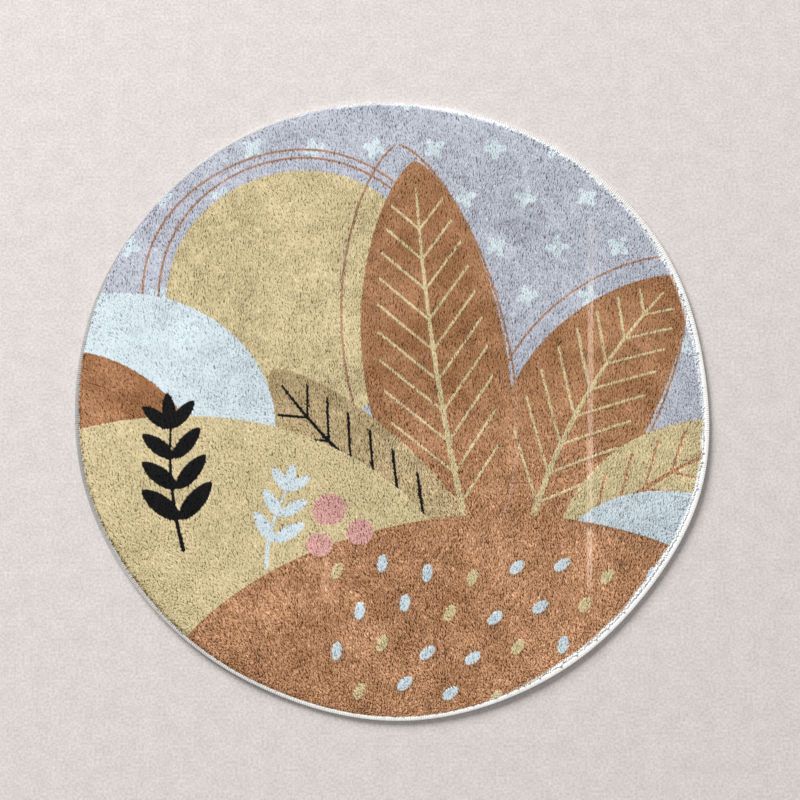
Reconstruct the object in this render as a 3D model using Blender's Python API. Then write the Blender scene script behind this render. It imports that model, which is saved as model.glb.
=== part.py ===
"""A round plush rug for a child's room, one metre across, with an overlocked edge.

The rug is two pieces. The plush mat is one panel of short cut pile on its ground
cloth. Its rim is pressed thin, and the overlock seam wraps that rim from the top
face round to the underside. The rug lies on the floor: the underside is flat at
z = 0, the pile stands up along +Z, and the origin is the middle of the underside.
All sizes are in metres and all angles in degrees.
"""

import math

import bmesh
import bpy
from mathutils import Vector

# Driving sizes of the whole rug.
RUG_DIAMETER = 1.000
RUG_HEIGHT = 0.010
FITTING_GAP = 0.0003
COLUMNS = 96

# The overlock seam: how far it reaches in over the rim, how high the bound rim
# stands, and how thick the layer of thread is.
SEAM_REACH = 0.008
SEAM_HEIGHT = 0.0064
THREAD_LAYER = 0.0012
SEAM_ROUND_STEPS = 5

# The pile beside the seam rises as a soft shoulder to its full height.
SHOULDER_START_HEIGHT = 0.0072
SHOULDER_WIDTH = 0.010
SHOULDER_STEPS = 3

# The rug was cut by hand, so its outline swells and draws in a little.
# Each row: waves round the outline, their height, and the angle of the first crest.
OUTLINE_WAVES = (
    {"waves": 2, "height": 0.0024, "crest": -22},
    {"waves": 3, "height": 0.0009, "crest": 45},
    {"waves": 4, "height": 0.0011, "crest": 9},
    {"waves": 5, "height": 0.0016, "crest": -21},
    {"waves": 6, "height": 0.0011, "crest": -21},
    {"waves": 7, "height": 0.0004, "crest": -18},
    {"waves": 8, "height": 0.0006, "crest": -18},
    {"waves": 9, "height": 0.0006, "crest": -10},
    {"waves": 10, "height": 0.0005, "crest": -17},
)

# The edge stands off the floor in a few shallow ripples, which die out further in.
# Each row: the ripple's middle, its height at the edge, and its reach to each side.
EDGE_RIPPLES = (
    {"middle": -16, "height": 0.0016, "reach": 17},
    {"middle": -66, "height": 0.0010, "reach": 22},
    {"middle": -132, "height": 0.0036, "reach": 32},
    {"middle": 170, "height": 0.0018, "reach": 22},
    {"middle": 38, "height": 0.0012, "reach": 20},
)
RIPPLE_DEPTH = 0.090
RIPPLE_RINGS = (0.040, 0.065, RIPPLE_DEPTH)

# One crease, left from folding, is pressed into the pile. It crosses the X axis here
# and runs along Y, drifting by this share of its run towards +X. The mesh is cut along
# it at these shares of its half width, and across it at these shares of the length
# over which each end fades out.
CREASE_X = 0.314
CREASE_DRIFT = 0.022
CREASE_LOW_Y = -0.290
CREASE_HIGH_Y = 0.300
CREASE_HALF_WIDTH = 0.007
CREASE_DEPTH = 0.0014
CREASE_FADE = 0.060
CREASE_CUTS_ALONG = (-1.0, -0.5, 0.0, 0.5, 1.0)
CREASE_CUTS_ACROSS = (0.0, 0.5, 1.0)

# Points closer to a plane than this lie on it.
ON_PLANE = 1e-6

# Faces that meet at a smaller angle than this are shaded as one round surface.
SMOOTH_BELOW = 40

# Colours of the finished surfaces: linear red, green, blue.
CARAMEL_PILE = (0.370, 0.185, 0.090, 1.0)
SEAM_THREAD = (0.780, 0.770, 0.740, 1.0)


def clear_objects():
    """Removes whatever the scene holds before the rug is made."""
    for old in list(bpy.data.objects):
        bpy.data.objects.remove(old)


def soft_step(t):
    """0 at t = 0 and 1 at t = 1, level at both ends."""
    t = min(max(t, 0.0), 1.0)
    return t * t * (3 - 2 * t)


def outline_radius(angle):
    """Distance from the cutting centre to the rug's edge at an angle in radians."""
    radius = RUG_DIAMETER / 2
    for row in OUTLINE_WAVES:
        turn = row["waves"] * (angle - math.radians(row["crest"]))
        radius += row["height"] * math.cos(turn)
    return radius


def column_angles():
    """The angles of the mesh's columns, which both pieces share."""
    return [2 * math.pi * column / COLUMNS for column in range(COLUMNS)]


def find_cutting_centre():
    """Where the outline's centre lies, with the middle of its extents at the origin."""
    xs = [outline_radius(a) * math.cos(a) for a in column_angles()]
    ys = [outline_radius(a) * math.sin(a) for a in column_angles()]
    return Vector((-(min(xs) + max(xs)) / 2, -(min(ys) + max(ys)) / 2, 0.0))


CUTTING_CENTRE = find_cutting_centre()


def place(angle, inset, height):
    """The point that lies inset from the edge and this high above the floor."""
    radius = outline_radius(angle) - inset
    out = Vector((radius * math.cos(angle), radius * math.sin(angle), height))
    return out + CUTTING_CENTRE


def edge_lift(point):
    """How far the ripples raise the rug at a point."""
    arm = point - CUTTING_CENTRE
    angle = math.atan2(arm.y, arm.x)
    inset = outline_radius(angle) - math.hypot(arm.x, arm.y)
    lift = 0.0
    for row in EDGE_RIPPLES:
        apart = math.degrees(angle) - row["middle"]
        apart = abs((apart + 180) % 360 - 180)
        if apart < row["reach"]:
            lift += row["height"] * (1 + math.cos(math.pi * apart / row["reach"])) / 2
    return lift * soft_step(1 - inset / RIPPLE_DEPTH)


def off_crease(point):
    """How far a point lies from the middle of the crease, along X."""
    return abs(point.x - CREASE_X - CREASE_DRIFT * point.y)


def crease_depth(point):
    """How far the fold line is pressed into the pile at a point."""
    across = off_crease(point) / CREASE_HALF_WIDTH
    end = min(point.y - CREASE_LOW_Y, CREASE_HIGH_Y - point.y) / CREASE_FADE
    return CREASE_DEPTH * soft_step(1 - across) * soft_step(end)


def rim_arc(centre_inset, centre_height, radius, steps):
    """A half circle round the rim, from below it, round the outside, to above it."""
    points = []
    for step in range(steps + 1):
        turn = math.pi * (step / steps - 0.5)
        inset = centre_inset - radius * math.cos(turn)
        points.append((inset, centre_height + radius * math.sin(turn)))
    return points


def seam_section():
    """The C-shaped section of the seam, as (inset, height) points."""
    middle = SEAM_HEIGHT / 2
    outside = rim_arc(middle, middle, middle, 2 * SEAM_ROUND_STEPS)
    inner_radius = middle - THREAD_LAYER
    inside = rim_arc(middle, middle, inner_radius, SEAM_ROUND_STEPS)
    under_lip = (SEAM_REACH, 0.0), (SEAM_REACH, THREAD_LAYER)
    upper_lip = (SEAM_REACH, SEAM_HEIGHT), (SEAM_REACH, SEAM_HEIGHT - THREAD_LAYER)
    return [under_lip[0], *outside, *upper_lip, *reversed(inside), under_lip[1]]


def mat_section():
    """The section of the mat from its underside, round the rim, to the top face."""
    middle = SEAM_HEIGHT / 2
    rim_radius = middle - THREAD_LAYER - FITTING_GAP
    rim = rim_arc(middle, middle, rim_radius, SEAM_ROUND_STEPS)
    beside_seam = SEAM_REACH + FITTING_GAP
    below = [(inset, 0.0) for inset in reversed(RIPPLE_RINGS)]
    below += [(beside_seam, 0.0), (beside_seam, middle - rim_radius)]
    above = [(beside_seam, middle + rim_radius)]
    for step in range(SHOULDER_STEPS + 1):
        turn = 0.5 * math.pi * step / SHOULDER_STEPS
        rise = (RUG_HEIGHT - SHOULDER_START_HEIGHT) * math.sin(turn)
        inset = beside_seam + SHOULDER_WIDTH * (1 - math.cos(turn))
        above.append((inset, SHOULDER_START_HEIGHT + rise))
    above += [(inset, RUG_HEIGHT) for inset in RIPPLE_RINGS]
    return below + rim + above


def sweep(mesh, section):
    """Carries a section round the outline, and returns its rings of vertices."""
    rings = []
    for inset, height in section:
        places = [place(angle, inset, height) for angle in column_angles()]
        rings.append([mesh.verts.new(point) for point in places])
    return rings


def join_rings(mesh, lower, upper):
    """Fills the band between two rings with quads that face away from the section."""
    for column in range(COLUMNS):
        after = (column + 1) % COLUMNS
        corners = lower[column], lower[after], upper[after], upper[column]
        mesh.faces.new(corners)


def cut_faces(mesh, faces, point, normal):
    """Cuts these faces where the plane through a point crosses them."""
    parts = list({part for f in faces for part in (f, *f.edges, *f.verts)})
    bmesh.ops.bisect_plane(
        mesh, geom=parts, dist=ON_PLANE, plane_co=point, plane_no=normal
    )


def top_faces(mesh):
    """The faces that lie at the full height of the pile."""
    return [f for f in mesh.faces if f.calc_center_median().z > RUG_HEIGHT - ON_PLANE]


def in_crease(face):
    """Whether a face lies within the width of the crease."""
    return off_crease(face.calc_center_median()) < CREASE_HALF_WIDTH


def cut_crease_lines(mesh):
    """Cuts the top faces along the crease, and the crease across, where it fades."""
    for share in CREASE_CUTS_ALONG:
        line = Vector((CREASE_X + share * CREASE_HALF_WIDTH, 0, 0))
        cut_faces(mesh, top_faces(mesh), line, Vector((1, -CREASE_DRIFT, 0)))
    for share in CREASE_CUTS_ACROSS:
        inward = share * CREASE_FADE
        for y in (CREASE_LOW_Y + inward, CREASE_HIGH_Y - inward):
            pressed = [f for f in top_faces(mesh) if in_crease(f)]
            cut_faces(mesh, pressed, Vector((0, y, 0)), Vector((0, 1, 0)))


def press_and_lift(mesh):
    """Presses the crease into the top face, and raises the edge in its ripples."""
    for vertex in mesh.verts:
        lift = edge_lift(vertex.co)
        if vertex.co.z > RUG_HEIGHT - ON_PLANE:
            vertex.co.z -= crease_depth(vertex.co)
        vertex.co.z += lift


def finish(mesh, name, material):
    """Turns the working mesh into a named object that wears its material."""
    bmesh.ops.triangulate(mesh, faces=mesh.faces)
    press_and_lift(mesh)
    bmesh.ops.recalc_face_normals(mesh, faces=mesh.faces)
    data = bpy.data.meshes.new(name)
    mesh.to_mesh(data)
    mesh.free()
    data.materials.append(material)
    data.shade_smooth()
    data.set_sharp_from_angle(angle=math.radians(SMOOTH_BELOW))
    piece = bpy.data.objects.new(name, data)
    bpy.context.scene.collection.objects.link(piece)
    return piece


def make_material(name, colour, roughness):
    """A plain cloth material."""
    material = bpy.data.materials.new(name)
    material.use_nodes = True
    shader = material.node_tree.nodes["Principled BSDF"]
    shader.inputs["Base Color"].default_value = colour
    shader.inputs["Roughness"].default_value = roughness
    shader.inputs["Metallic"].default_value = 0.0
    return material


def make_plush_mat():
    """The panel of plush: a flat disc with a pressed rim, a shoulder and a crease."""
    mesh = bmesh.new()
    rings = sweep(mesh, mat_section())
    for lower, upper in zip(rings, rings[1:]):
        join_rings(mesh, lower, upper)
    mesh.faces.new(reversed(rings[0]))
    mesh.faces.new(rings[-1])
    cut_crease_lines(mesh)
    return finish(mesh, "plush_mat", make_material("plush_pile", CARAMEL_PILE, 0.95))


def make_overlock_seam():
    """The overlock seam: a closed ring of thread that wraps the rim of the mat."""
    mesh = bmesh.new()
    rings = sweep(mesh, seam_section())
    for lower, upper in zip(rings, rings[1:] + rings[:1]):
        join_rings(mesh, lower, upper)
    return finish(mesh, "overlock_seam", make_material("seam_thread", SEAM_THREAD, 0.8))


clear_objects()
make_plush_mat()
make_overlock_seam()
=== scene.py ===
"""A round plush rug for a child's room: ground cloth, printed pile and overlocked edge."""

import math

import bmesh
import bpy
import numpy as np
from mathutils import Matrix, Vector
from mathutils.bvhtree import BVHTree


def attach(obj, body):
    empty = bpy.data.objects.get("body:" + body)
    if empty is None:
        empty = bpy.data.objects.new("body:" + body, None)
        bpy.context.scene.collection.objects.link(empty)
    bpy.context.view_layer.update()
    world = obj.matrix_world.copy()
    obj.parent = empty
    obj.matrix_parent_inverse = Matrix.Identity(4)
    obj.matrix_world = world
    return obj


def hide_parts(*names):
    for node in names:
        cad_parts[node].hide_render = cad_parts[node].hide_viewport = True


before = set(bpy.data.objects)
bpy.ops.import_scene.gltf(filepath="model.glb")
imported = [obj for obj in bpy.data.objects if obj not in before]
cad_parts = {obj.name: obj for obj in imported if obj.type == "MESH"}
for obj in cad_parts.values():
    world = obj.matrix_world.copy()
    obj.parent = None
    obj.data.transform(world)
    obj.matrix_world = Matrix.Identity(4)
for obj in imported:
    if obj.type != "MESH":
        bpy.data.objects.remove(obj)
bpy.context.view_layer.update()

# --------------------
# The ground cloth. A round of close-woven backing, cut once and laid flat, which holds
# the roots of the pile. Its rim rises into the seam that wraps it, and the dye of the
# print reaches down to it between the strands.

GROUND_THICKNESS = 0.0030
GROUND_COLUMNS = 240
GROUND_TOP_RINGS = 50
GROUND_UNDER_RINGS = 10
SEAM_REACH = 0.0080
SEAM_HEIGHT = 0.0064
THREAD_THICKNESS = 0.0013
RIM_TUCK = 0.0018
RIM_BEVEL = (0.0018, 0.0010)
RISE_WIDTH = 0.0080
FOLD_TROUGH = 0.0006
OUTLINE_WAVES = 12
SAFE_INSET = 0.0050


def wave_terms(angle):
    """The terms of the outline's waves at these angles, one row for each angle."""
    turns = np.outer(angle, np.arange(1, OUTLINE_WAVES + 1))
    return np.hstack([np.ones((len(angle), 1)), np.cos(turns), np.sin(turns)])


def fit_outline(node, columns=96):
    """Reads the rug's outer edge from a node, as waves round a circle."""
    points = np.array([v.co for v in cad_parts[node].data.vertices])
    angle = np.arctan2(points[:, 1], points[:, 0])
    radius = np.hypot(points[:, 0], points[:, 1])
    column = np.round(angle / (2 * math.pi / columns)).astype(int) % columns
    outermost = [np.flatnonzero(column == c)[radius[column == c].argmax()] for c in range(columns)]
    return np.linalg.lstsq(wave_terms(angle[outermost]), radius[outermost], rcond=None)[0]


OUTLINE = fit_outline("overlock_seam")


def edge_radius(angle):
    """How far the rug's edge is from the middle at these angles."""
    return wave_terms(np.atleast_1d(angle)) @ OUTLINE


def distance_to_edge(x, y):
    """How far in from the edge these places lie."""
    return edge_radius(np.arctan2(y, x)) - np.hypot(x, y)


def solid_faces(*nodes):
    """The faces of these nodes, ready to be met by straight lines."""
    corners, faces = [], []
    for name in nodes:
        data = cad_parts[name].data
        faces += [[len(corners) + i for i in p.vertices] for p in data.polygons]
        corners += [v.co.copy() for v in data.vertices]
    return BVHTree.FromPolygons(corners, faces)


RUG_FACES = solid_faces("plush_mat", "overlock_seam")


def heights(x, y, from_above):
    """Where straight lines from above or below first meet the rug, kept clear of its rim."""
    inset = distance_to_edge(x, y)
    radius = np.hypot(x, y)
    pull = np.where(inset < SAFE_INSET, (radius + inset - SAFE_INSET) / np.maximum(radius, 1e-9), 1.0)
    start, way = (1.0, -1.0) if from_above else (-1.0, 1.0)
    lines = zip((x * pull).tolist(), (y * pull).tolist())
    return np.array([RUG_FACES.ray_cast(Vector((a, b, start)), Vector((0, 0, way)))[0].z for a, b in lines])


def soft_step(t):
    """0 at t = 0 and 1 at t = 1, level at both ends."""
    t = np.clip(t, 0, 1)
    return t * t * (3 - 2 * t)


def soft_noise(x, y, size, seed):
    """Smooth random values from -1 to 1, which change over this size."""
    reach = 0.6
    cells = int(2 * reach / size) + 3
    corners = np.random.default_rng(seed).uniform(-1, 1, (cells, cells))
    u, v = (x + reach) / size, (y + reach) / size
    column, row = u.astype(int), v.astype(int)
    across, up = soft_step(u - column), soft_step(v - row)
    low = corners[row, column] * (1 - across) + corners[row, column + 1] * across
    high = corners[row + 1, column] * (1 - across) + corners[row + 1, column + 1] * across
    return low * (1 - up) + high * up


# The folds that the rug kept from its packing, and how much each one parts the pile.
FOLDS = (
    dict(x0=0.307, y0=-0.318, x1=0.321, y1=0.326, half_width=0.0044, press=1.00),
    dict(x0=-0.104, y0=-0.335, x1=-0.099, y1=-0.215, half_width=0.0060, press=0.35),
    dict(x0=-0.100, y0=0.062, x1=0.170, y1=0.085, half_width=0.0060, press=0.22),
)


def run_of_fold(x, y, fold):
    """How far along a fold these places are, how far beside it, and the fold's length."""
    along = np.array([fold["x1"] - fold["x0"], fold["y1"] - fold["y0"]])
    length = np.linalg.norm(along)
    along /= length
    dx, dy = x - fold["x0"], y - fold["y0"]
    return dx * along[0] + dy * along[1], dy * along[0] - dx * along[1], length


def pressed(x, y):
    """How much the folds have parted the pile at these places, from 0 to 1."""
    most = np.zeros(len(x))
    for fold in FOLDS:
        run, aside, length = run_of_fold(x, y, fold)
        ends = soft_step(np.minimum(run, length - run) / 0.05)
        most = np.maximum(most, fold["press"] * ends * soft_step(1.5 - np.abs(aside) / fold["half_width"]))
    return most


# The print. Its dyes are colours from 0 to 255. All are lifted by one gain, since the pile
# shades itself, and each one bleeds a little into the next.
DYES = {
    "lilac": (169, 172, 181),
    "white": (184, 194, 199),
    "caramel": (151, 113, 81),
    "dark_caramel": (142, 102, 70),
    "sand": (186, 174, 141),
    "dark_sand": (162, 146, 114),
    "black": (2, 2, 4),
    "pink": (190, 152, 146),
    "rust": (152, 120, 98),
    "bare": (228, 232, 235),
}
DYE_BLEED = 0.0010
DYE_GAIN = 1.12


def linear(colour):
    """A colour from 0 to 255 as linear light."""
    share = np.clip(colour, 0, 255) / 255
    return np.where(share <= 0.04045, share / 12.92, ((share + 0.055) / 1.055) ** 2.4)


def turned_with(x, y, row):
    """The places along and across the turn of a shape, from its own x and y."""
    turn = math.radians(row.get("turn", 0))
    dx, dy = x - row["x"], y - row["y"]
    return dx * math.cos(turn) + dy * math.sin(turn), dy * math.cos(turn) - dx * math.sin(turn)


def inside_round(x, y, row):
    """How far inside a loose oval the places are."""
    along, across = turned_with(x, y, row)
    u, v = along / row["wide"], across / row["high"]
    angle = np.arctan2(v, u)
    waver = sum(np.cos(k * angle + row.get("start", 1) * k * k) / k for k in (2, 3, 5))
    return (1 - np.hypot(u, v)) * min(row["wide"], row["high"]) + row.get("waver", 0) * waver


def along_leaf(x, y, row):
    """The share of a leaf's length at the places, and how far they are from its rib."""
    along, across = turned_with(x, y, row)
    share = along / row["length"]
    held = np.clip(share, 0, 1)
    return share, across - row.get("bow", 0) * 4 * held * (1 - held)


def leaf_breadth(share):
    """How broad a leaf is along its length, 1 at its broadest."""
    held = np.clip(share, 0, 1)
    return 2.45 * held**0.60 * (1 - held) ** 0.70


def inside_leaf(x, y, row):
    """How far inside a pointed leaf the places are."""
    share, aside = along_leaf(x, y, row)
    inside = row["width"] / 2 * leaf_breadth(share) - np.abs(aside)
    step = 0.01
    slope = (leaf_breadth(share + step) - leaf_breadth(share - step)) / (2 * step)
    slope *= row["width"] / 2 / row["length"]
    return np.where((share > 0) & (share < 1), inside / np.hypot(1, slope), -1.0)


def inside_stroke(x, y, row):
    """How far inside a tapered brush stroke the places are."""
    share, aside = along_leaf(x, y, row)
    over = np.maximum(np.maximum(-share, share - 1), 0) * row["length"]
    return row["width"] / 2 * (1 - 0.45 * np.clip(share, 0, 1)) - np.hypot(aside, over)


# The landscape, shape by shape, in metres and degrees.
SUN = dict(x=-0.145, y=0.175, wide=0.214, high=0.208, waver=0.003, start=3)
SUN_RINGS = (
    dict(x=-0.140, y=0.172, wide=0.233, high=0.231, waver=0.005, start=5),
    dict(x=-0.150, y=0.178, wide=0.244, high=0.241, waver=0.006, start=8),
)
LINE_WIDTH = 0.0036
BIG_LEAVES = (
    dict(dye="caramel", vein="sand", x=0.205, y=-0.235, length=0.510, turn=60,
         width=0.220, bow=0.034, outlined=True),
    dict(dye="caramel", vein="sand", x=0.125, y=-0.235, length=0.640, turn=98,
         width=0.230, bow=0.014, outlined=True),
    dict(dye="sand", vein="caramel", x=0.260, y=-0.250, length=0.400, turn=31,
         width=0.150, bow=0.026, outlined=False),
    dict(dye="dark_sand", vein="black", x=0.115, y=-0.235, length=0.420, turn=137,
         width=0.160, bow=0.022, outlined=False),
)
VEIN_SPACING = 0.050
VEIN_HALF = 0.0020
VEIN_RAKE = 1.1
VEIN_ACROSS = 0.67
VEIN_REACH = 0.38
RIB_FOOT = 0.0054
RIB_TIP = 0.0014
HILLS = (
    dict(dye="white", x=-0.440, y=-0.060, wide=0.260, high=0.235, turn=10, waver=0.005, start=4),
    dict(dye="dark_caramel", x=-0.520, y=-0.120, wide=0.220, high=0.200, turn=4, waver=0.005, start=7),
    dict(dye="sand", x=-0.310, y=-0.330, wide=0.430, high=0.310, turn=-8, waver=0.007, start=6),
    dict(dye="white", x=0.470, y=-0.340, wide=0.240, high=0.190, turn=-20, waver=0.004, start=2),
)
FRONT_HILL = dict(dye="caramel", x=0.150, y=-0.540, wide=0.540, high=0.360, turn=2, waver=0.008, start=9)
SPRIGS = (
    dict(dye="black", x=-0.325, y=-0.235, length=0.195, turn=97, pairs=4, leaf=0.074),
    dict(dye="white", x=-0.195, y=-0.262, length=0.125, turn=76, pairs=3, leaf=0.056),
)
BERRIES = (
    dict(x=-0.098, y=-0.172, wide=0.027, high=0.024, turn=20, waver=0.001),
    dict(x=-0.050, y=-0.207, wide=0.021, high=0.020, waver=0.001),
    dict(x=-0.113, y=-0.227, wide=0.021, high=0.018, turn=-15, waver=0.001),
)
STEM_WIDTH = 0.0065
FROND_TURN = 46
FROND_SLIM = 0.38
SPECK_PITCH = 0.098
SPECK_ROWS = 0.08232
SPECK_SIZE = 0.0190
SEED_PITCH = 0.070
SEED_ROWS = 0.062

# How far in the print has half faded to a bare margin beside the seam, by the direction in
# degrees from the rug's middle. Below 0 the print runs on to the edge.
BARE_MARGIN = {-90: -0.0040, -75: 0.0050, -60: 0.0122, -35: 0.0132, 0: 0.0106, 15: 0.0128, 30: 0.0112,
               45: 0.0104, 60: 0.0082, 75: 0.0084, 90: 0.0050, 120: 0.0, 137: -0.0040}
MARGIN_FADE = 0.0066
MARGIN_WAVER = 0.0015


def round_the_rug(x, y, curve):
    """The value for each place from a curve of values by direction."""
    return np.interp(np.degrees(np.arctan2(y, x)), list(curve), list(curve.values()), period=360)


def bare_rim(x, y):
    """How far inside the bare margin beside the seam the places are."""
    margin = round_the_rug(x, y, BARE_MARGIN) + MARGIN_WAVER * soft_noise(x, y, 0.030, 17)
    return margin - distance_to_edge(x, y)


def printed_colours(x, y):
    """The colour that the print gives the cloth at these places, from 0 to 255."""
    cloth = np.tile(np.array(DYES["lilac"], float), (len(x), 1))

    def dye(inside, name, where=True):
        share = (np.clip(inside / DYE_BLEED + 0.5, 0, 1) * where)[:, None]
        cloth[:] = cloth * (1 - share) + np.array(DYES[name]) * share

    # Rows of small four-petalled specks on the sky, every other row half a pitch aside.
    row = np.round(y / SPECK_ROWS - 0.1)
    shift = 0.5 * (row % 2) + 0.2
    column = np.round(x / SPECK_PITCH - shift)
    dx, dy = x - (column + shift) * SPECK_PITCH, y - (row + 0.1) * SPECK_ROWS
    angle = np.arctan2(dy, dx) + 0.3 * ((13 * row + column) * 7 % 5 - 2)
    dye(SPECK_SIZE * (0.74 + 0.26 * np.cos(4 * angle)) - np.hypot(dx, dy), "white")

    dye(inside_round(x, y, SUN), "sand")
    for ring in SUN_RINGS:
        dye(LINE_WIDTH / 2 - np.abs(inside_round(x, y, ring)), "rust")

    for leaf in BIG_LEAVES:
        loose = dict(leaf, length=leaf["length"] * 1.05, turn=leaf["turn"] + 2, width=leaf["width"] * 1.14)
        dye(LINE_WIDTH / 2 - np.abs(inside_leaf(x, y, loose)), "rust", leaf["outlined"])
        dye(inside_leaf(x, y, leaf), leaf["dye"])
        share, aside = along_leaf(x, y, leaf)
        rib = RIB_TIP + (RIB_FOOT - RIB_TIP) * (1 - share)
        dye(rib - np.abs(aside), leaf["vein"], (share > 0.03) & (share < 0.93))
        side_run = share * leaf["length"] - VEIN_RAKE * np.abs(aside)
        off_vein = np.abs((side_run / VEIN_SPACING) % 1 - 0.5) * VEIN_SPACING * VEIN_ACROSS
        reach = np.abs(aside) < VEIN_REACH * leaf["width"] * leaf_breadth(share)
        dye(VEIN_HALF - off_vein, leaf["vein"], reach & (side_run > 0.03) & (share < 0.9))

    for hill in (*HILLS, FRONT_HILL):
        dye(inside_round(x, y, hill), hill["dye"])

    for sprig in SPRIGS:
        turn = math.radians(sprig["turn"])
        dye(inside_stroke(x, y, dict(sprig, width=STEM_WIDTH, bow=0.008)), sprig["dye"])
        for pair in range(1, sprig["pairs"] + 1):
            out = sprig["length"] * pair / sprig["pairs"]
            size = sprig["leaf"] * (1.12 - 0.35 * pair / sprig["pairs"])
            foot = dict(x=sprig["x"] + out * math.cos(turn), y=sprig["y"] + out * math.sin(turn))
            for side in (-1, 1, 0) if pair == sprig["pairs"] else (-1, 1):
                frond = dict(foot, length=size, width=FROND_SLIM * size,
                             turn=sprig["turn"] + side * FROND_TURN)
                dye(inside_leaf(x, y, frond), sprig["dye"])

    for berry in BERRIES:
        dye(inside_round(x, y, berry), "pink")

    # Seeds in loose rows on the front hill.
    for row in range(4):
        for column in range(9):
            seed = dict(x=-0.085 + (column + 0.5 * (row % 2)) * SEED_PITCH,
                        y=-0.268 - row * SEED_ROWS + 0.012 * math.sin(1.7 * column),
                        wide=0.0140, high=0.0080, turn=60 + 25 * math.sin(row + column))
            if inside_round(seed["x"], seed["y"], FRONT_HILL) > 0.02:
                dye(inside_round(x, y, seed), "white" if (row + column) % 3 else "sand")

    dye(bare_rim(x, y) * DYE_BLEED / MARGIN_FADE, "bare")
    return cloth


def ground_top(inset):
    """How high the ground cloth is, with its rise to the seam."""
    rise = SEAM_HEIGHT - THREAD_THICKNESS - GROUND_THICKNESS
    return GROUND_THICKNESS + rise * np.clip(1 - (inset - SEAM_REACH) / RISE_WIDTH, 0, 1)


def ground_section():
    """Rings of the ground cloth, from the middle of its underside to the middle of its top."""
    reach = edge_radius(0.0)[0]
    low, high = THREAD_THICKNESS, SEAM_HEIGHT - THREAD_THICKNESS
    under = [(inset, 0.0) for inset in np.linspace(0.97 * reach, SEAM_REACH + 0.0006, GROUND_UNDER_RINGS)]
    inward, upward = RIM_BEVEL
    rim = [(SEAM_REACH + 0.0002, low), (RIM_TUCK + inward, low), (RIM_TUCK, low + upward)]
    rim += [(RIM_TUCK, high - upward), (RIM_TUCK + inward, high), (SEAM_REACH + 0.0002, high)]
    top = np.linspace(SEAM_REACH + RISE_WIDTH, 0.985 * reach, GROUND_TOP_RINGS)
    return under + rim + list(zip(top, ground_top(top)))


def closed_mesh(name, corners, faces):
    """A mesh of these corners and faces, all facing outwards, with its largest faces split."""
    data = bpy.data.meshes.new(name)
    data.from_pydata(corners, [], faces)
    work = bmesh.new()
    work.from_mesh(data)
    bmesh.ops.recalc_face_normals(work, faces=work.faces)
    bmesh.ops.poke(work, faces=[f for f in work.faces if len(f.verts) > 8])
    work.to_mesh(data)
    work.free()
    return data


def make_ground_mesh():
    """The ground cloth as one closed mesh, on the ripples and folds of the rug."""
    angles = np.linspace(0, 2 * math.pi, GROUND_COLUMNS, endpoint=False)
    edge = edge_radius(angles)
    section = np.array(ground_section())
    radius = edge - section[:, :1]
    x, y = (radius * np.cos(angles)).ravel(), (radius * np.sin(angles)).ravel()
    z = np.repeat(section[:, 1], GROUND_COLUMNS) + heights(x, y, from_above=False)
    top = slice(-GROUND_TOP_RINGS * GROUND_COLUMNS, None)
    z[top] -= FOLD_TROUGH * pressed(x[top], y[top])
    ring = np.arange(GROUND_COLUMNS)
    after = (ring + 1) % GROUND_COLUMNS
    faces = []
    for step in range(len(section) - 1):
        low, high = step * GROUND_COLUMNS, (step + 1) * GROUND_COLUMNS
        faces += np.stack([low + ring, low + after, high + after, high + ring], 1).tolist()
    faces += [ring[::-1].tolist(), ((len(section) - 1) * GROUND_COLUMNS + ring).tolist()]
    return closed_mesh("ground_cloth", np.stack([x, y, z], 1).tolist(), faces)


def mark_points(data, label, values):
    """Stores a value or a colour for each point of a mesh."""
    if values.ndim == 1:
        data.attributes.new(label, "FLOAT", "POINT").data.foreach_set("value", values)
    else:
        colours = np.hstack([np.clip(values, 0, 1), np.ones((len(values), 1))])
        data.attributes.new(label, "FLOAT_COLOR", "POINT").data.foreach_set("color", colours.ravel())


def place_piece(name, data, *materials):
    """Puts a mesh into the scene as a piece of the rug."""
    piece = bpy.data.objects.new(name, data)
    bpy.context.scene.collection.objects.link(piece)
    data.materials.clear()
    for material in materials:
        data.materials.append(material)
    data.polygons.foreach_set("use_smooth", [True] * len(data.polygons))
    return piece


def set_inputs(node, values):
    """Gives these inputs of a node their values."""
    for label, value in values.items():
        node.inputs[label].default_value = value


def new_finish(name, roughness, sheen):
    """A cloth material without colour yet, and its shader, nodes and links."""
    material = bpy.data.materials.new(name)
    material.use_nodes = True
    nodes = material.node_tree.nodes
    shader = nodes["Principled BSDF"]
    set_inputs(shader, {"Roughness": roughness, "Specular IOR Level": 0.15, "Sheen Weight": sheen,
                        "Sheen Roughness": 0.5})
    return material, shader, nodes, material.node_tree.links


def add_noise(nodes, links, scale, detail, stretch=(1, 1, 1)):
    """A noise texture on the object's own coordinates, stretched along its axes."""
    place = nodes.new("ShaderNodeTexCoord")
    mapping = nodes.new("ShaderNodeMapping")
    set_inputs(mapping, {"Scale": stretch})
    noise = nodes.new("ShaderNodeTexNoise")
    set_inputs(noise, {"Scale": scale, "Detail": detail})
    links.new(place.outputs["Object"], mapping.inputs["Vector"])
    links.new(mapping.outputs["Vector"], noise.inputs["Vector"])
    return noise.outputs["Fac"]


def read_attribute(nodes, name, output):
    """The named attribute of the mesh, as its colour or as its value."""
    node = nodes.new("ShaderNodeAttribute")
    node.attribute_name = name
    return node.outputs[output]


def cross_span(nodes, links, amount, span, low=0.0, high=1.0):
    """From low to high as the amount crosses its span."""
    node = nodes.new("ShaderNodeMapRange")
    set_inputs(node, {"From Min": span[0], "From Max": span[1], "To Min": low, "To Max": high})
    links.new(amount, node.inputs["Value"])
    return node.outputs["Result"]


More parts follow.
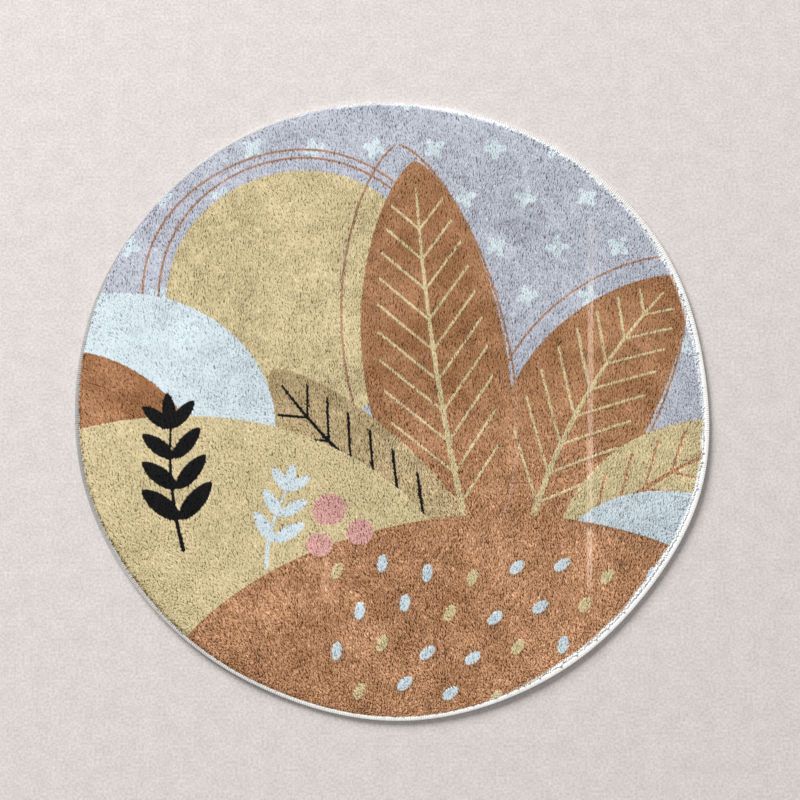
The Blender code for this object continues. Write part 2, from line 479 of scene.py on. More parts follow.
def shade_by(nodes, links, colour, amount, darkest, lightest, span=(0.3, 0.7)):
    """The colour, scaled from darkest to lightest as the amount crosses its span."""
    scale = nodes.new("ShaderNodeVectorMath")
    scale.operation = "SCALE"
    links.new(colour, scale.inputs[0])
    links.new(cross_span(nodes, links, amount, span, darkest, lightest), scale.inputs["Scale"])
    return scale.outputs["Vector"]


def add_bump(nodes, links, shader, height, strength, distance):
    """Raises a shader's surface by a height."""
    bump = nodes.new("ShaderNodeBump")
    set_inputs(bump, {"Strength": strength, "Distance": distance})
    links.new(height, bump.inputs["Height"])
    links.new(bump.outputs["Normal"], shader.inputs["Normal"])


def make_ground_print_and_shade():
    """The upper side of the ground cloth: the print, painted darker among the roots as shade."""
    material, shader, nodes, links = new_finish("ground_print_and_shade", 0.95, 0.0)
    grain = add_noise(nodes, links, 700, 2)
    dye = read_attribute(nodes, "dye", "Color")
    # Painted shade: the print is dimmed to between 0.70 and 0.95 of itself, unevenly with the grain.
    links.new(shade_by(nodes, links, dye, grain, 0.70, 0.95), shader.inputs["Base Color"])
    add_bump(nodes, links, shader, grain, 0.6, 0.0006)
    return material


def make_woven_back():
    """The underside of the ground cloth: a plain, close, off-white weave."""
    material, shader, nodes, links = new_finish("woven_back", 0.9, 0.05)
    place = nodes.new("ShaderNodeTexCoord")
    weave = nodes.new("ShaderNodeMath")
    weave.operation = "MULTIPLY"
    for socket, direction in zip(weave.inputs, ("X", "Y")):
        band = nodes.new("ShaderNodeTexWave")
        band.bands_direction = direction
        set_inputs(band, {"Scale": 190, "Distortion": 0.6})
        links.new(place.outputs["Object"], band.inputs["Vector"])
        links.new(band.outputs["Fac"], socket)
    base = nodes.new("ShaderNodeRGB")
    base.outputs[0].default_value = (*linear((226, 220, 208)), 1)
    slubs = add_noise(nodes, links, 90, 3, (1, 6, 1))
    colour = shade_by(nodes, links, base.outputs[0], slubs, 0.86, 1.04)
    links.new(shade_by(nodes, links, colour, weave.outputs[0], 0.80, 1.0), shader.inputs["Base Color"])
    add_bump(nodes, links, shader, weave.outputs[0], 0.7, 0.0005)
    return material


ground_data = make_ground_mesh()
ground = place_piece("ground_cloth", ground_data, make_ground_print_and_shade(), make_woven_back())
ground_x, ground_y = np.array([v.co.xy for v in ground_data.vertices]).T
mark_points(ground_data, "dye", DYE_GAIN * linear(printed_colours(ground_x, ground_y)))
ground_data.polygons.foreach_set("material_index", [p.normal.z < -0.5 for p in ground_data.polygons])
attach(ground, "root")
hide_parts("plush_mat")

# --------------------
# The pile. Short soft strands, cut to one length and printed, stand close together in
# the ground cloth, hold together in small tufts and lean with the nap. They are made
# in four quarters of the rug. Along the rim some are caught up in the seam.

PILE_HEIGHT = 0.0100
LOCK_SPACING = 0.00214
LOCK_WIDTH = 0.0042
LOCK_BREADTH = 1.60
SEAT_SPREAD = 0.36
OUTER_ROW = 0.0011
ROOT_DEPTH = 0.0006
ROOT_CLEARANCE = 0.0004
ROOT_SPREAD = 0.60
TIP_SPREAD = 0.0003
TUFT_SPACING = 0.0045
TUFT_PULL = 0.42

# The nap: the direction that it leads in and its lean, in degrees, and how both drift over
# the rug. Each drift is in degrees, over a size in metres, with a seed.
NAP_TOWARDS = 103
NAP_DRIFTS = ((10, 0.110, 1), (12, 0.026, 2), (18, 0.0085, 3))
NAP_SPREAD = 9
FRONT_LEFT_TURN = 16
NAP_LEAN = 35
LEAN_DRIFTS = ((4, 0.090, 4), (5, 0.022, 5))
LEAN_SPREAD = 4
BACK_LEAN = 4
PRESSED_TOWARDS = 92
PRESSED_LEAN = 60

# How the seam holds the pile, by direction as for the margin: how far out over the seam it
# is caught, how deep a groove is left beside it, or below 0 how proud a ridge, and how far
# the pile is combed down to it. The pairs are for pile that stands and that is combed down.
CAUGHT = {-90: 0.0034, -75: 0.0032, -60: 0.0003, 30: 0.0003, 45: 0.0006, 60: 0.0028, 75: 0.0030,
          90: 0.0038, 120: 0.0050, 137: 0.0072, 150: 0.0054, 166: 0.0008, 195: 0.0016, 210: 0.0030,
          227: 0.0046, 242: 0.0046, 256: 0.0040}
# The groove is also painted darker, as shade, and a proud ridge painted lighter, as light.
GROOVE = {-90: -0.3, -75: -0.3, -60: 0.0, 150: 0.0, 166: 0.2, 195: 0.9, 210: 0.9, 227: 0.7, 242: 0.4,
          256: 0.1}
COMBED_DOWN = {45: 1.0, 60: 0.5, 75: 0.0, 195: 0.0, 210: 0.3, 227: 0.6, 242: 0.8, 256: 1.0}
CAUGHT_DEPTH = 0.0012
CAUGHT_BREADTH = 0.8
COMBED_OUT = 0.0016
COMBED_OVER = 0.0030
COMBED_LENGTH = 0.0018
COMBED_EVEN = 0.8
GROOVE_DEPTH = 0.0010
GROOVE_WIDTH = 0.0045
EDGE_HEIGHT = (0.0074, 0.0068)
ROLL_WIDTH = (0.0180, 0.0680)

# Where on a lock its print is read, as shares of its length.
LOW_PRINT = 0.40
HIGH_PRINT = 0.95
WORN_PRINT = 0.70

# Where the dyes change the pile: the levels from 0 to 255 between which a dye turns deep,
# leaves black and turns pale, and the places between which the front and the right begin.
DEEP_DYE = (175, 125)
BEYOND_BLACK = (0, 60)
PALE_DYE = (180, 190)
FRONT = (0.12, -0.23)
RIGHT = (0.10, 0.30)
FINER_IN_FRONT = 0.35
FULLER_WHEN_PALE = 0.25

# The shades that the locks add to the print, in steps from 0 to 255, and how much shows.
# They are partly painted light and shade: the nap's shading, glints, light in front and at
# the right, and shade in the groove by the seam.
SHADE_PATCHES = ((10, 0.070, 7), (10, 0.024, 8))
PATCHES_SHOW = (0.30, 1.00)
TUFT_SHADE = 9
LOCK_SHADE = 9
LOCKS_SHOW = (0.40, 0.95)
CALMER_WHEN_PALE = 0.65
FRONT_PAINTED_LIGHT = 25
RIGHT_PAINTED_LIGHT = 7
GROOVE_PAINTED_SHADE = 28
WORN_DYE = (228, 210, 200)
WORN_SHOWS = (0.14, 0.38)

# The locks' flat patches for baking lie in one square for each quarter of the rug, which
# has a name, a side (1 is right) and an end (1 is back).
PATCH_SIZE = 0.84
PATCH_MARGIN = 0.008
PATCH_SPAN = 0.512
QUARTERS = (
    ("pile_back_right", 1, 1), ("pile_back_left", -1, 1),
    ("pile_front_left", -1, -1), ("pile_front_right", 1, -1),
)


def lay_out_seats():
    """The seats of the locks, in even rows, out to where the seam catches them."""
    rows = np.arange(-0.52, 0.52, LOCK_SPACING * math.sqrt(3) / 2)
    columns = np.arange(-0.52, 0.52, LOCK_SPACING)
    x, y = np.meshgrid(columns, rows)
    x += 0.5 * LOCK_SPACING * (np.arange(len(rows)) % 2)[:, None]
    x, y = x.ravel(), y.ravel()
    outermost = SEAM_REACH + OUTER_ROW - round_the_rug(x, y, CAUGHT)
    return np.stack([x, y], 1)[distance_to_edge(x, y) > outermost]


def find_tufts(x, y):
    """The middle of the tuft that each lock belongs to, and each tuft's random tone."""
    reach = 0.6
    cells = int(2 * reach / TUFT_SPACING) + 3
    chance = np.random.default_rng(19)
    shift = chance.uniform(-0.45, 0.45, (cells, cells, 2))
    tones = chance.normal(0, 1, (cells, cells))
    column, row = ((x + reach) / TUFT_SPACING).astype(int), ((y + reach) / TUFT_SPACING).astype(int)
    nearest = np.full(len(x), np.inf)
    middle_x, middle_y, tone = np.zeros((3, len(x)))
    for up in (-1, 0, 1):
        for across in (-1, 0, 1):
            r, c = row + up, column + across
            u = (c + 0.5 + shift[r, c, 0]) * TUFT_SPACING - reach
            v = (r + 0.5 + shift[r, c, 1]) * TUFT_SPACING - reach
            gap = np.hypot(x - u, y - v)
            nearer = gap < nearest
            nearest = np.where(nearer, gap, nearest)
            middle_x, middle_y = np.where(nearer, u, middle_x), np.where(nearer, v, middle_y)
            tone = np.where(nearer, tones[r, c], tone)
    return middle_x, middle_y, tone


def fade(value, start, end):
    """0 at the start and 1 at the end, level at both."""
    return soft_step((value - start) / (end - start))


def between(pair, share):
    """From the pair's first value to its second as the share goes from 0 to 1."""
    return pair[0] + (pair[1] - pair[0]) * share


def drift(x, y, rows):
    """The sum of soft noises, each of some amount over some size with its seed."""
    return sum(amount * soft_noise(x, y, size, seed) for amount, size, seed in rows)


def comb_nap(x, y, standing):
    """How far each lock's tip lies from its root, along x and y, once the nap is combed."""
    chance = np.random.default_rng(23)
    towards = NAP_TOWARDS + drift(x, y, NAP_DRIFTS) + chance.normal(0, NAP_SPREAD, len(x))
    towards += FRONT_LEFT_TURN * fade(x + y, 0.0, -0.50)
    lean = NAP_LEAN + drift(x, y, LEAN_DRIFTS) + chance.normal(0, LEAN_SPREAD, len(x))
    lean += BACK_LEAN * fade(y, -0.30, 0.15)
    flat = pressed(x, y)
    towards += (PRESSED_TOWARDS - towards) * flat
    lean += (PRESSED_LEAN - lean) * flat
    reach = standing * np.tan(np.radians(lean))
    return reach * np.cos(np.radians(towards)), reach * np.sin(np.radians(towards))


def pile_top(x, y, lift):
    """How high the pile stands: as the CAD's top, and rolled down to the edge round its rim."""
    down = round_the_rug(x, y, COMBED_DOWN)
    share = distance_to_edge(x, y) / between(ROLL_WIDTH, down)
    edge = between(EDGE_HEIGHT, down)
    rolled = lift + edge + (PILE_HEIGHT - edge) * (1 - (1 - np.clip(share, 0, 1)) ** (2 - down))
    return np.where(share < 1, rolled, heights(x, y, from_above=True))


def hold_at_edge(x, y, tip_x, tip_y):
    """Draws the tips that would lean past the rug's edge back to it."""
    past = np.maximum(-distance_to_edge(x + tip_x, y + tip_y), 0)
    radius = np.hypot(x, y)
    return tip_x - past * x / radius, tip_y - past * y / radius


def make_lock():
    """One tapered lock of fibres of unit height and width, closed at its root."""
    turns = [2 * math.pi * side / 3 for side in range(3)]
    corners = [(0.5 * math.cos(turn), 0.5 * math.sin(turn), 0.0) for turn in turns] + [(0.0, 0.0, 1.0)]
    data = bpy.data.meshes.new("lock")
    data.from_pydata(corners, [], [(0, 1, 3), (1, 2, 3), (2, 0, 3), (0, 2, 1)])
    mark_points(data, "rise", np.array([0.0, 0.0, 0.0, 1.0]))
    patch = data.uv_layers.new(name="OFBake")
    for face in data.polygons:
        root_face = 3 not in face.vertices
        for loop in face.loop_indices:
            corner = data.loops[loop].vertex_index
            radius, middle = (0.09, -0.38) if root_face else (0.5, 0.0)
            turn = 2 * math.pi * corner / 3
            spot = (0.0, 0.0) if corner == 3 else (radius * math.cos(turn), radius * math.sin(turn))
            patch.uv[loop].vector = (spot[0] + middle, spot[1])
    return data


def build_planting_tree(name):
    """A node tree that sets a shape on every point, each turned and sized by its point."""
    tree = bpy.data.node_groups.new(name, "GeometryNodeTree")
    add_node, link = tree.nodes.new, tree.links.new
    for label, kind in (
        ("places", "Geometry"), ("shape", "Object"), ("width", "Float"), ("width_spread", "Float"),
        ("roll_spread", "Float"), ("seed", "Int"), ("finish", "Material"),
    ):
        tree.interface.new_socket(label, in_out="INPUT", socket_type="NodeSocket" + kind)
    tree.interface.new_socket("Pieces", in_out="OUTPUT", socket_type="NodeSocketGeometry")
    given = add_node("NodeGroupInput").outputs
    result = add_node("NodeGroupOutput")

    def read(label, kind):
        node = add_node("GeometryNodeInputNamedAttribute")
        node.data_type = kind
        set_inputs(node, {"Name": label})
        return node.outputs["Attribute"]

    def work_out(operation, first, second):
        node = add_node("ShaderNodeMath")
        node.operation = operation
        for socket, value in zip(node.inputs, (first, second)):
            if isinstance(value, bpy.types.NodeSocket):
                link(value, socket)
            else:
                socket.default_value = value
        return node.outputs[0]

    def give_or_take(spread, offset):
        node = add_node("FunctionNodeRandomValue")
        node.data_type = "FLOAT"
        node.inputs[2].default_value = -1.0
        link(work_out("ADD", given["seed"], offset), node.inputs["Seed"])
        return work_out("MULTIPLY", node.outputs[1], spread)

    shape = add_node("GeometryNodeObjectInfo")
    link(given["shape"], shape.inputs["Object"])
    turn = add_node("FunctionNodeEulerToRotation")
    link(read("stand", "FLOAT_VECTOR"), turn.inputs[0])
    roll = add_node("ShaderNodeCombineXYZ")
    link(give_or_take(given["roll_spread"], 1), roll.inputs["Z"])
    rolled = add_node("FunctionNodeRotateRotation")
    rolled.rotation_space = "LOCAL"
    by = add_node("FunctionNodeEulerToRotation")
    link(roll.outputs[0], by.inputs[0])
    link(turn.outputs[0], rolled.inputs[0])
    link(by.outputs[0], rolled.inputs[1])
    spread = work_out("ADD", read("breadth", "FLOAT"), give_or_take(given["width_spread"], 2))
    width = work_out("MULTIPLY", given["width"], spread)
    size = add_node("ShaderNodeCombineXYZ")
    link(work_out("MULTIPLY", width, read("reach", "FLOAT")), size.inputs["X"])
    link(width, size.inputs["Y"])
    link(read("length", "FLOAT"), size.inputs["Z"])
    plant = add_node("GeometryNodeInstanceOnPoints")
    link(given["places"], plant.inputs["Points"])
    link(shape.outputs["Geometry"], plant.inputs["Instance"])
    link(rolled.outputs[0], plant.inputs["Rotation"])
    link(size.outputs[0], plant.inputs["Scale"])
    real = add_node("GeometryNodeRealizeInstances")
    finish = add_node("GeometryNodeSetMaterial")
    link(plant.outputs[0], real.inputs[0])
    link(real.outputs[0], finish.inputs["Geometry"])
    link(given["finish"], finish.inputs["Material"])
    link(finish.outputs[0], result.inputs[0])
    return tree


PLANTING = build_planting_tree("plant_shapes")


def plant(name, shape_data, places, lean, towards, length, marks, material, **sizes):
    """Sets a shape on every place with the planting tree, and returns it as one plain mesh."""
    seats = bpy.data.meshes.new(name + "_places")
    seats.from_pydata(places.tolist(), [], [])
    stand = np.zeros((len(places), 3))
    stand[:, 1], stand[:, 2] = lean, towards
    seats.attributes.new("stand", "FLOAT_VECTOR", "POINT").data.foreach_set("vector", stand.ravel())
    even = np.ones(len(places))
    for label, values in {"length": length, "breadth": even, "reach": even, **marks}.items():
        mark_points(seats, label, values)
    holder = bpy.data.objects.new(name + "_places", seats)
    shape = bpy.data.objects.new(name + "_shape", shape_data)
    for helper in (holder, shape):
        bpy.context.scene.collection.objects.link(helper)
    modifier = holder.modifiers.new("plant", "NODES")
    modifier.node_group = PLANTING
    given = {**sizes, "shape": shape, "finish": material}
    for item in PLANTING.interface.items_tree:
        if item.in_out == "INPUT" and item.name in given:
            modifier[item.identifier] = given[item.name]
    bpy.context.view_layer.update()
    evaluated = holder.evaluated_get(bpy.context.evaluated_depsgraph_get())
    data = bpy.data.meshes.new_from_object(evaluated)
    data.name = name
    holder.modifiers.remove(modifier)
    for helper in (holder, shape):
        bpy.data.objects.remove(helper)
    return data


def mix_dyes(nodes, links, first, second, share):
    """The first colour, changed for the second as the share goes from 0 to 1."""
    mix = nodes.new("ShaderNodeMix")
    mix.data_type = "RGBA"
    for label, value in (("A", first), ("B", second)):
        links.new(value, next(s for s in mix.inputs if s.name == label and s.type == "RGBA"))
    links.new(share, mix.inputs["Factor"])
    return next(s for s in mix.outputs if s.type == "RGBA")


def make_printed_pile():
    """The pile's finish: dyed fibres, painted richer and for most dyes darker towards their roots
    as shade among the locks, with a soft sheen.

    The print lies on the pile as it leans, so its edges cross the locks. Each lock has
    the colour below such an edge, the colour above it, and how far up the edge is.
    """
    material, shader, nodes, links = new_finish("printed_pile", 0.85, 0.12)
    fibres = add_noise(nodes, links, 900, 2, (1, 0.35, 1))
    rise = read_attribute(nodes, "rise", "Fac")
    past = nodes.new("ShaderNodeMath")
    past.operation = "SUBTRACT"
    links.new(rise, past.inputs[0])
    links.new(read_attribute(nodes, "print_edge", "Fac"), past.inputs[1])
    change = cross_span(nodes, links, past.outputs[0], (-0.07, 0.07))
    # The dye marks carry the print together with its painted light and shade.
    low, high = read_attribute(nodes, "low_colour", "Color"), read_attribute(nodes, "dye", "Color")
    # Painted shade: towards the roots the colour is raised to a higher power and scaled, richer and for
    # most dyes darker, as the shade down among the locks.
    painted_root_shade = nodes.new("ShaderNodeGamma")
    links.new(mix_dyes(nodes, links, low, high, change), painted_root_shade.inputs["Color"])
    links.new(cross_span(nodes, links, rise, (0.0, 1.0), 1.40, 1.00), painted_root_shade.inputs["Gamma"])
    colour = shade_by(nodes, links, painted_root_shade.outputs["Color"], rise, 1.25, 1.0, span=(0.0, 1.0))
    colour = shade_by(nodes, links, colour, fibres, 0.92, 1.08)
    links.new(colour, shader.inputs["Base Color"])
    add_bump(nodes, links, shader, fibres, 0.35, 0.0005)
    return material


def print_locks(x, y, tip_x, tip_y):
    """The print's colour low and high on each lock, and how far up it changes."""
    low, high = np.full(len(x), LOW_PRINT), np.full(len(x), HIGH_PRINT)
    below, above = (printed_colours(x + share * tip_x, y + share * tip_y) for share in (low, high))
    crossed = np.flatnonzero(np.abs(above - below).max(axis=1) > 2)
    for _ in range(4):
        middle = (low[crossed] + high[crossed]) / 2
        colour = printed_colours(x[crossed] + middle * tip_x[crossed], y[crossed] + middle * tip_y[crossed])
        gap_below = np.abs(colour - below[crossed]).sum(axis=1)
        under = gap_below < np.abs(colour - above[crossed]).sum(axis=1)
        low[crossed] = np.where(under, middle, low[crossed])
        high[crossed] = np.where(under, high[crossed], middle)
    return below, above, (low + high) / 2


pile_finish = make_printed_pile()
lock_data = make_lock()
chance = np.random.default_rng(41)
seats = lay_out_seats()
root_x, root_y = (seats + chance.uniform(-SEAT_SPREAD, SEAT_SPREAD, seats.shape) * LOCK_SPACING).T
lift = heights(root_x, root_y, from_above=False)
root_inset = distance_to_edge(root_x, root_y)
caught = root_inset < SEAM_REACH + OUTER_ROW
over_seam = lift + SEAM_HEIGHT - CAUGHT_DEPTH
root_z = np.where(caught, over_seam, lift + ground_top(root_inset) - ROOT_DEPTH)
tip_x, tip_y = comb_nap(root_x, root_y, pile_top(root_x, root_y, lift) - root_z)

# In the bare margin the locks are combed out to the seam. The tips of each tuft hold
# together, and none leans past the rug's edge.
combed_out = round_the_rug(root_x, root_y, COMBED_DOWN) * soft_step(bare_rim(root_x, root_y) / COMBED_OVER)
radius = np.hypot(root_x, root_y)
tip_x += (COMBED_OUT * root_x / radius - tip_x) * combed_out
tip_y += (COMBED_OUT * root_y / radius - tip_y) * combed_out
tuft_x, tuft_y, tuft_tone = find_tufts(root_x, root_y)
tip_x += TUFT_PULL * (tuft_x - root_x)
tip_y += TUFT_PULL * (tuft_y - root_y)
tip_x, tip_y = hold_at_edge(root_x, root_y, tip_x, tip_y)

# The tips end at the top of the pile. A lock that leans over the seam comes out there.
groove = round_the_rug(root_x, root_y, GROOVE)
groove *= soft_step(1 - (root_inset - SEAM_REACH) / GROOVE_WIDTH)
tip_z = pile_top(root_x + tip_x, root_y + tip_y, lift) - GROOVE_DEPTH * groove
uneven = TIP_SPREAD * tuft_tone + chance.normal(0, TIP_SPREAD, len(root_x))
tip_z += uneven * (1 - COMBED_EVEN * combed_out)
leans_out = distance_to_edge(root_x + tip_x, root_y + tip_y) < SEAM_REACH
root_z = np.where(leans_out, np.maximum(root_z, over_seam), root_z)

# Locks of a deep dye are finer in front, and pale ones are fuller. In the bare margin they
# are short. No root comes out at the underside, however far its lock leans.
low_colour, lock_colour, print_edge = print_locks(root_x, root_y, tip_x, tip_y)
level = lock_colour.mean(axis=1)
deep = fade(level, *DEEP_DYE) * fade(level, *BEYOND_BLACK)
pale = fade(level, *PALE_DYE)
frontward = fade(root_y, *FRONT)
breadth = LOCK_BREADTH - FINER_IN_FRONT * frontward * soft_step(3 * deep) + FULLER_WHEN_PALE * pale
breadth *= np.where(caught, CAUGHT_BREADTH, 1.0)
breadth += (LOCK_BREADTH - breadth) * combed_out
root_z = np.maximum(root_z, root_z + (tip_z - COMBED_LENGTH - root_z) * combed_out)
lock_length = np.sqrt(tip_x**2 + tip_y**2 + (tip_z - root_z) ** 2)
lean = np.arctan2(np.hypot(tip_x, tip_y), tip_z - root_z)
root_z = np.maximum(root_z, lift + ROOT_CLEARANCE + ROOT_SPREAD * LOCK_WIDTH * breadth * np.sin(lean))
towards = np.arctan2(tip_y, tip_x)

# Each lock takes the print where it lies, soft patches of painted nap shading and a tone of
# its own, skewed bright as painted glints. These and the wear of the folds show most in deep
# dyes. Deep dyes are painted lighter in front and at the right, and the groove darker, as shade.
# The patches are painted nap shading: lighter and darker tone where the pile would catch the light
# differently.
patches = between(PATCHES_SHOW, deep) * drift(root_x, root_y, SHADE_PATCHES)
# Each lock's own shade is random tone, skewed bright to paint glints of strands catching the light. It is
# stronger in front and calmer in pale dyes, as painted light and shade.
own = TUFT_SHADE * tuft_tone + LOCK_SHADE * (chance.gamma(2.0, 0.8, len(root_x)) - 2.0 * 0.8)
own *= between(LOCKS_SHOW, deep * frontward) * (1 - CALMER_WHEN_PALE * pale)
# Painted light: deep dyes are lighter towards the front and the right.
own += deep * (FRONT_PAINTED_LIGHT * frontward + RIGHT_PAINTED_LIGHT * fade(root_x, *RIGHT))
# Painted shade: locks in the groove beside the seam are darker.
shade = (patches + own - GROOVE_PAINTED_SHADE * groove)[:, None]
worn = pressed(root_x + WORN_PRINT * tip_x, root_y + WORN_PRINT * tip_y)
worn = (between(WORN_SHOWS, deep) * worn)[:, None]
low_colour, lock_colour = (
    DYE_GAIN * linear((colour + shade) * (1 - worn) + np.array(WORN_DYE) * worn)
    for colour in (low_colour, lock_colour)
)
roots = np.stack([root_x, root_y, root_z], 1)

for number, (name, side, end) in enumerate(QUARTERS):
    here = ((seats[:, 0] >= 0) == (side > 0)) & ((seats[:, 1] >= 0) == (end > 0))
    # The dye marks hold the print with its painted light and shade.
    marks = {"dye": lock_colour[here], "low_colour": low_colour[here], "print_edge": print_edge[here],
             "breadth": breadth[here]}
    data = plant(name, lock_data, roots[here], lean[here], towards[here], lock_length[here], marks,
                 pile_finish, width=LOCK_WIDTH, width_spread=0.18, roll_spread=1.0, seed=50 + number)
    patch = data.uv_layers["OFBake"]
    spots = np.empty(len(data.loops) * 2)
    patch.uv.foreach_get("vector", spots)
    lock_of_corner = np.repeat(np.arange(here.sum()), len(data.loops) // here.sum())
    low = np.array([min(0, side), min(0, end)]) * 0.5
    spots = spots.reshape(-1, 2) * PATCH_SIZE * LOCK_SPACING + seats[here][lock_of_corner] - low
    patch.uv.foreach_set("vector", (PATCH_MARGIN + spots / PATCH_SPAN).ravel())
    piece = place_piece(name, data, pile_finish)
    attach(piece, "root")

# --------------------
# The seam's loops. Off-white bulky thread is overlocked round the rim of the rug, one
# loop beside the next, from the top face round to the underside.

STITCH_PITCH = 0.0033
LOOP_WIDTH = 0.0044
LOOP_SLANT = 0.0016
LOOP_SIDES = 5
HIGHER_LOOPS = 0.08

# How far in the loops reach, and the thread's painted light and shade, by direction as for
# the margin: darker at the back and left, a little brighter at the front right.
LOOP_REACH = {-90: 0.0066, -75: 0.0068, -60: 0.0080, 166: 0.0080, 195: 0.0078, 210: 0.0066,
              227: 0.0052, 242: 0.0052, 256: 0.0060}
THREAD_LIGHT_AND_SHADE = {-90: 0.93, -75: 0.98, -60: 1.02, -35: 1.05, 15: 1.05, 30: 0.98, 45: 0.94, 60: 0.88,
               75: 0.80, 90: 0.74, 120: 0.56, 137: 0.37, 150: 0.36, 166: 0.50, 195: 0.37, 210: 0.50,
               227: 0.64, 242: 0.72, 256: 0.90}


def loop_path():
    """The line of one loop: out from the edge (x), along it (y) and up (z), in metres."""
    half = THREAD_THICKNESS / 2
    middle = SEAM_HEIGHT / 2
    rise = middle - half
    above = [(-SEAM_REACH, 0.92), (-0.6 * SEAM_REACH, 1.0), (-1.8 * half, 1.0), (-1.15 * half, 0.97),
             (-half, 0.6)]
    upper = [(x, middle + share * rise) for x, share in above]
    lower = [(x, middle - share * rise) for x, share in reversed(above)]
    path = [*upper, (-half, middle), *lower]
    slant = np.linspace(-0.5, 0.5, len(path)) * LOOP_SLANT
    return [Vector((x, along, z)) for (x, z), along in zip(path, slant)]


def tube_faces(rings, sides):
    """The faces of a tube with this many rings and sides, closed at both ends."""
    faces = [tuple(range(sides)), tuple(range((rings - 1) * sides, rings * sides))]
    for ring in range(rings - 1):
        for side in range(sides):
            after = (side + 1) % sides
            low, high = ring * sides, (ring + 1) * sides
            faces.append((low + side, low + after, high + after, high + side))
    return faces


def make_loop():
    """One loop of bulky thread, a flattened strand along its path, thinner at its two ends."""
    path = loop_path()
    corners = []
    for number, point in enumerate(path):
        before, after = path[max(number - 1, 0)], path[min(number + 1, len(path) - 1)]
        forward = (after - before).normalized()
        aside = Vector((0, 1, 0)) - forward * forward.y
        aside.normalize()
        proud = aside.cross(forward)
        flat = 0.3 if number in (0, len(path) - 1) else 0.5
        for side in range(LOOP_SIDES):
            turn = 2 * math.pi * side / LOOP_SIDES
            wide, thick = 0.5 * LOOP_WIDTH * math.sin(turn), flat * THREAD_THICKNESS * math.cos(turn)
            corners.append(point + aside * wide + proud * thick)
    return closed_mesh("loop", corners, tube_faces(len(path), LOOP_SIDES))


def make_seam_thread():
    """The thread's finish: off-white bulky yarn, a little uneven in tone."""
    material, shader, nodes, links = new_finish("seam_thread", 0.75, 0.2)
    fibres = add_noise(nodes, links, 1600, 2)
    dye = read_attribute(nodes, "dye", "Color")
    links.new(shade_by(nodes, links, dye, fibres, 0.94, 1.06), shader.inputs["Base Color"])
    add_bump(nodes, links, shader, fibres, 0.4, 0.0004)
    return material


def walk_edge(inward):
    """Places a stitch apart, this share of the loops' reach inward, with the way out and the lift."""
    angles = np.linspace(0, 2 * math.pi, 20001)
    radius = edge_radius(angles) - inward * round_the_rug(np.cos(angles), np.sin(angles), LOOP_REACH)
    x, y = radius * np.cos(angles), radius * np.sin(angles)
    run = np.concatenate([[0], np.cumsum(np.hypot(np.diff(x), np.diff(y)))])
    count = round(run[-1] / STITCH_PITCH)
    stops = (np.arange(count) + 0.5) / count * run[-1]
    outward = np.interp(stops, run, angles - np.arctan2(np.gradient(radius, angles), radius))
    x, y = np.interp(stops, run, x), np.interp(stops, run, y)
    return x, y, outward, heights(x, y, from_above=False)


seam_finish = make_seam_thread()
thread_tint = linear((250, 249, 246))

loop_x, loop_y, loop_out, loop_lift = walk_edge(0.0)
count = len(loop_x)
loop_out += chance.normal(0, 0.05, count)
loop_height = 1 + HIGHER_LOOPS * round_the_rug(loop_x, loop_y, COMBED_DOWN)
loop_tone_and_light = 1 + 0.05 * soft_noise(loop_x, loop_y, 0.03, 12) + chance.normal(0, 0.03, count)
# Painted light and shade: the thread is darker at the back and left, a little brighter at the front right.
loop_tone_and_light *= round_the_rug(loop_x, loop_y, THREAD_LIGHT_AND_SHADE)
loop_marks = {"dye": thread_tint * loop_tone_and_light[:, None],
              "reach": round_the_rug(loop_x, loop_y, LOOP_REACH) / SEAM_REACH}
loop_places = np.stack([loop_x, loop_y, loop_lift], 1)
loops_data = plant("seam_loops", make_loop(), loop_places, 0.0, loop_out, loop_height, loop_marks,
                   seam_finish, width=1.0, width_spread=0.03, roll_spread=0.0, seed=70)
loops = place_piece("seam_loops", loops_data, seam_finish)
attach(loops, "root")
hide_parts("overlock_seam")

# --------------------
# The needle chain. A line of small beads of the same thread, which the needle sews round
# the rug. It holds the loops down near their inner ends.

CHAIN_INWARD = 0.92
CHAIN_WIDTH = 0.0010
CHAIN_HEIGHT = 0.0011
CHAIN_OVERLAP = 1.15
CHAIN_DEPTH = 0.0002
CHAIN_SLANT = 0.12


def make_chain_stitch():
    """One stitch of the chain: a small bead of thread along the edge."""
    rings = ((-0.5, 0.15), (-0.3, 0.8), (0.0, 1.0), (0.3, 0.8), (0.5, 0.15))
    sides = 4
    corners = [
        (CHAIN_WIDTH / 2 * share * math.cos(turn), along * CHAIN_OVERLAP * STITCH_PITCH,
         CHAIN_HEIGHT / 2 * share * math.sin(turn))
        for along, share in rings
        for turn in (2 * math.pi * side / sides for side in range(sides))
    ]
    return closed_mesh("chain_stitch", corners, tube_faces(len(rings), sides))


chain_x, chain_y, chain_out, chain_lift = walk_edge(CHAIN_INWARD)
count = len(chain_x)
chain_places = np.stack([chain_x, chain_y, chain_lift + SEAM_HEIGHT - CHAIN_DEPTH], 1)
chain_tone = (0.97 + chance.normal(0, 0.04, count))[:, None]
chain_data = plant("seam_chain", make_chain_stitch(), chain_places, 0.0, chain_out + CHAIN_SLANT,
                   np.ones(count), {"dye": thread_tint * chain_tone}, seam_finish, width=1.0,
                   width_spread=0.08, roll_spread=0.0, seed=71)
chain = place_piece("seam_chain", chain_data, seam_finish)
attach(chain, "root")

# --------------------
# The floor, the light and the camera. A pale plain floor, soft daylight from the upper
# left, and a camera that looks down at the rug at the photo's steep angle.

FLOOR_SIZE = 8.0
VIEW_CENTRE = (0.0128, 0.0052, 0.0)
VIEW_ELEVATION = 78.1
VIEW_WIDTH = 1.2678
LENS = 100.0
SENSOR = 36.0


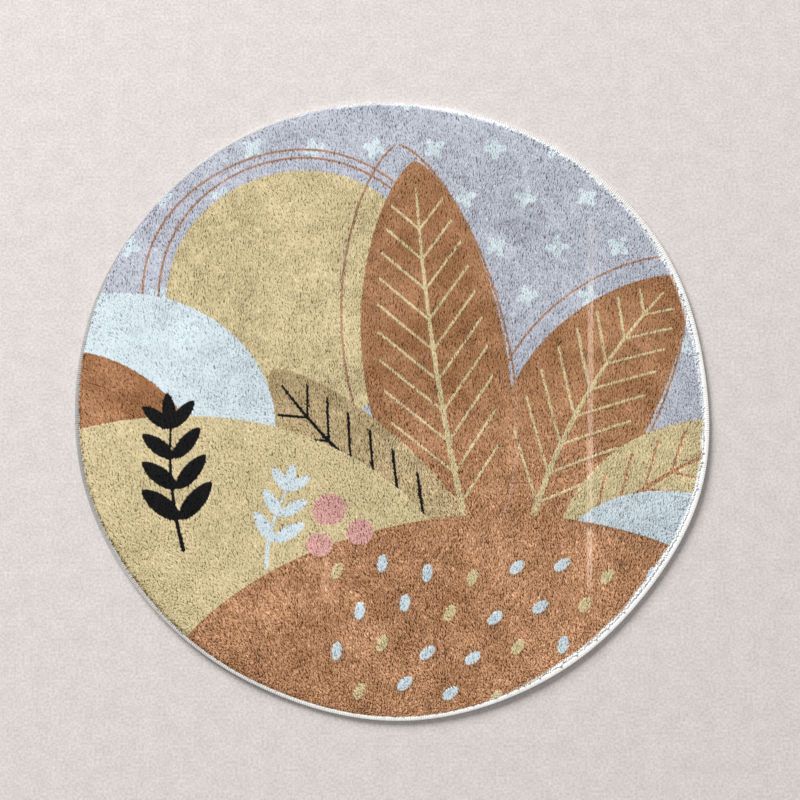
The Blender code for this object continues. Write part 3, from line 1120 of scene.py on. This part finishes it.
def make_floor():
    """A wide pale floor with a faint grain."""
    data = bpy.data.meshes.new("floor")
    half = FLOOR_SIZE / 2
    corners = [(-half, -half, 0), (half, -half, 0), (half, half, 0), (-half, half, 0)]
    data.from_pydata(corners, [], [(0, 1, 2, 3)])
    floor = bpy.data.objects.new("floor", data)
    floor.location.z = -0.0002
    bpy.context.scene.collection.objects.link(floor)
    material, shader, nodes, links = new_finish("pale_floor", 0.85, 0.0)
    base = nodes.new("ShaderNodeRGB")
    base.outputs[0].default_value = (*linear((225, 218, 216)), 1)
    patches = add_noise(nodes, links, 36, 1)
    colour = shade_by(nodes, links, base.outputs[0], patches, 0.965, 1.035)
    grain = add_noise(nodes, links, 250, 2)
    links.new(shade_by(nodes, links, colour, grain, 0.84, 1.10), shader.inputs["Base Color"])
    data.materials.append(material)


def add_light(name, azimuth, elevation, distance, size, power):
    """A soft square light that faces the rug from this direction."""
    data = bpy.data.lights.new(name, "AREA")
    data.size = size
    data.energy = power
    data.color = (1.0, 0.992, 0.985)
    light = bpy.data.objects.new(name, data)
    across, rise = math.radians(azimuth), math.radians(elevation)
    away = Vector((math.cos(across) * math.cos(rise), math.sin(across) * math.cos(rise), math.sin(rise)))
    light.location = away * distance
    light.rotation_euler = away.to_track_quat("Z", "Y").to_euler()
    bpy.context.scene.collection.objects.link(light)


def add_camera():
    """The camera, as far off as its lens needs for the photo's framing."""
    data = bpy.data.cameras.new("camera")
    data.lens = LENS
    data.sensor_width = SENSOR
    data.clip_end = 50
    camera = bpy.data.objects.new("camera", data)
    rise = math.radians(VIEW_ELEVATION)
    back = Vector((0, -math.cos(rise), math.sin(rise)))
    camera.location = Vector(VIEW_CENTRE) + back * (VIEW_WIDTH * LENS / SENSOR)
    camera.rotation_euler = back.to_track_quat("Z", "Y").to_euler()
    bpy.context.scene.collection.objects.link(camera)
    bpy.context.scene.camera = camera


make_floor()
add_light("window", azimuth=128, elevation=31, distance=12.0, size=6.6, power=2000)
add_camera()
world = bpy.data.worlds.new("room")
world.use_nodes = True
set_inputs(world.node_tree.nodes["Background"], {"Color": (1.0, 0.99, 0.98, 1), "Strength": 0.34})
bpy.context.scene.world = world
bpy.context.scene.view_settings.view_transform = "Standard"
